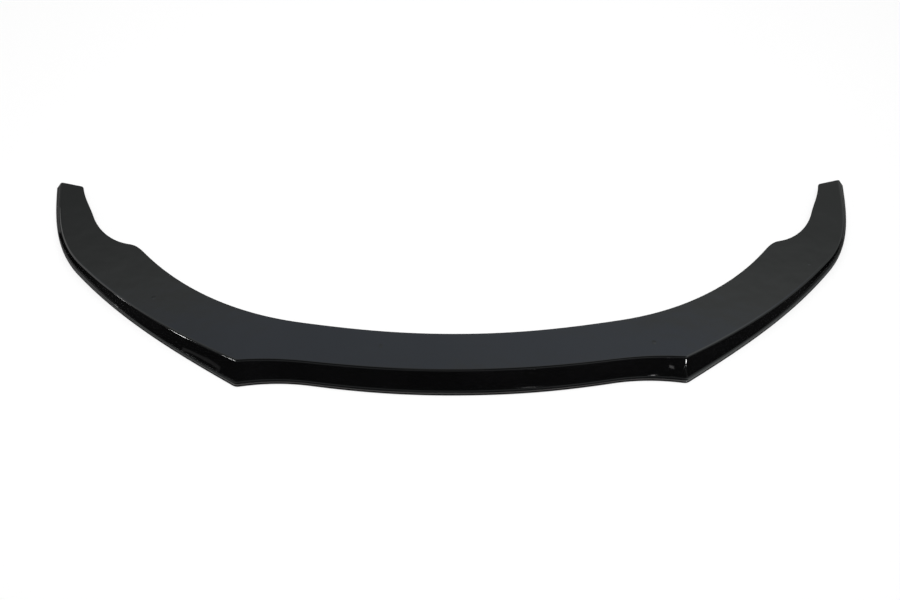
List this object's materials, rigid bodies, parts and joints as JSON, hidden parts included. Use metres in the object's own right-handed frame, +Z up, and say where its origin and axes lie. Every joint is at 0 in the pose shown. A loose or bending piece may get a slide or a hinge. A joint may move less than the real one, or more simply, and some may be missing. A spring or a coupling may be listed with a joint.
{
  "type": "front splitter lip",
  "caption": "Wide, shallow splitter lip for the underside of a car's front bumper: a flat top plate with swept-back wings and a leaning front wall with a narrow foot.",
  "frame": {"origin": "centre of the bounding box in plan, on the ground plane that the foot stands on", "axes": "+X to the right across the car, +Y rearwards from the front bow to the wing tips, +Z up"},
  "size_m": [1.7914, 0.604, 0.0478],
  "materials": {
    "moulding": "glossy black"
  },
  "bodies": {
    "root": {"splitter_lip": "moulding"}
  },
  "joints": []
}
